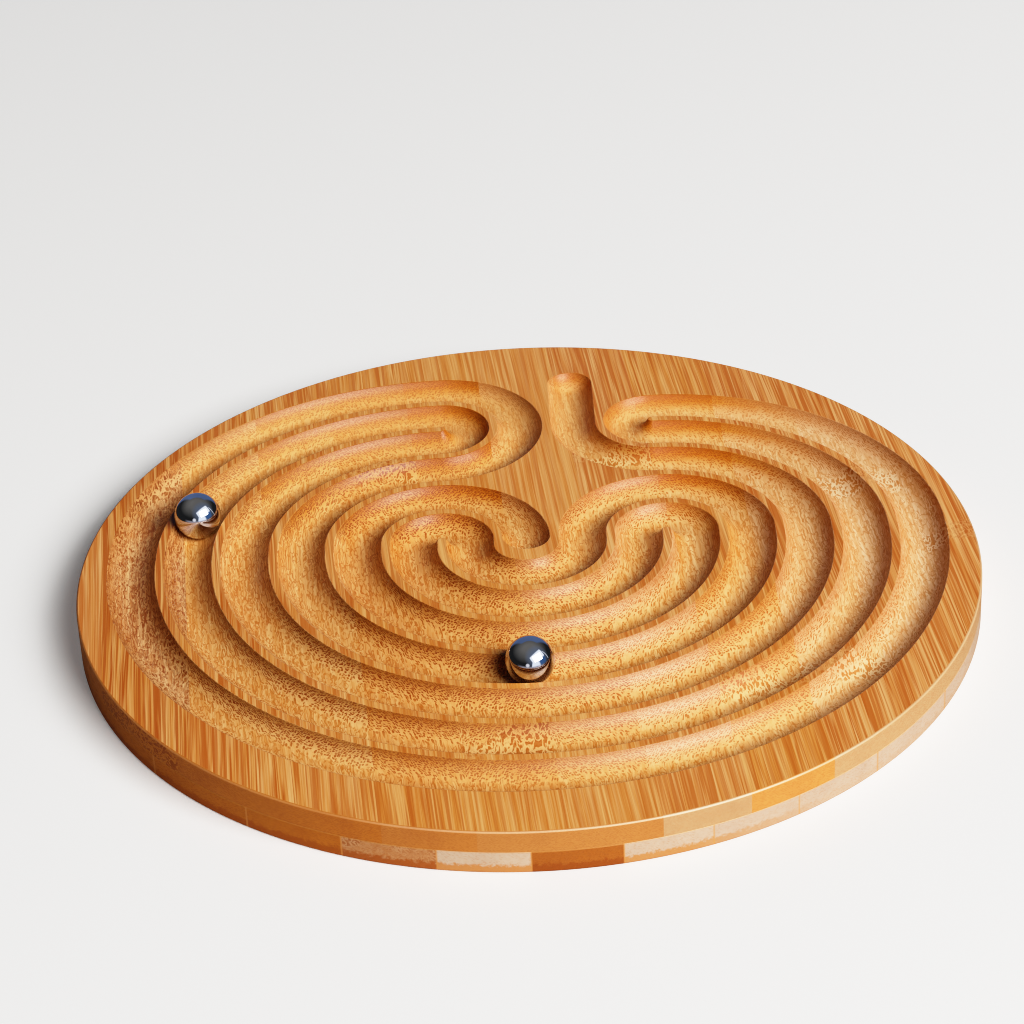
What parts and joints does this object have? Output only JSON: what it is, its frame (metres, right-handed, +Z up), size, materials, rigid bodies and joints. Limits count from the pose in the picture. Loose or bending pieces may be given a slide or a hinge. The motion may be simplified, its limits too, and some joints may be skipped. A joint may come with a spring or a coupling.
{
  "type": "dexterity puzzle",
  "caption": "Round bamboo hand-held dexterity puzzle: a winding round-bottomed labyrinth groove in the top face guides loose steel balls to the goal in the middle.",
  "frame": {"origin": "middle of the board's flat underside", "axes": "+Z up out of the grooved face, +Y towards the back, where the groove's entrance is, +X to the right"},
  "size_m": [0.24, 0.24, 0.0209],
  "materials": {
    "bamboo_honey": "clear satin varnish over caramelised bamboo",
    "bamboo_pale": "clear satin varnish over pale bamboo",
    "bamboo_caramel": "clear satin varnish over dark caramelised bamboo",
    "polished_steel": "mirror polished"
  },
  "bodies": {
    "board": {"upper_strip_01": "bamboo_caramel", "upper_strip_02": "bamboo_caramel", "upper_strip_03": "bamboo_caramel", "upper_strip_04": "bamboo_honey", "upper_strip_05": "bamboo_honey", "upper_strip_06": "bamboo_honey", "upper_strip_07": "bamboo_honey", "upper_strip_08": "bamboo_pale", "upper_strip_09": "bamboo_honey", "upper_strip_10": "bamboo_pale", "upper_strip_11": "bamboo_pale", "upper_strip_12": "bamboo_honey", "lower_strip_01": "bamboo_caramel", "lower_strip_02": "bamboo_caramel", "lower_strip_03": "bamboo_caramel", "lower_strip_04": "bamboo_honey", "lower_strip_05": "bamboo_pale", "lower_strip_06": "bamboo_caramel", "lower_strip_07": "bamboo_pale", "lower_strip_08": "bamboo_pale", "lower_strip_09": "bamboo_pale", "lower_strip_10": "bamboo_honey", "lower_strip_11": "bamboo_pale"},
    "front_ball": {"front_ball": "polished_steel"},
    "rear_ball": {"rear_ball": "polished_steel"}
  },
  "joints": [
    {"name": "front_ball_lane", "type": "hinge", "parent": "board", "child": "front_ball", "pos_m": [0, 0.0089, 0.012], "axis": [0, 0, 1], "range_deg": [-89, 90]},
    {"name": "rear_ball_lane", "type": "hinge", "parent": "board", "child": "rear_ball", "pos_m": [-0.0228, 0.0119, 0.012], "axis": [0, 0, 1], "range_deg": [-77, 12]}
  ]
}
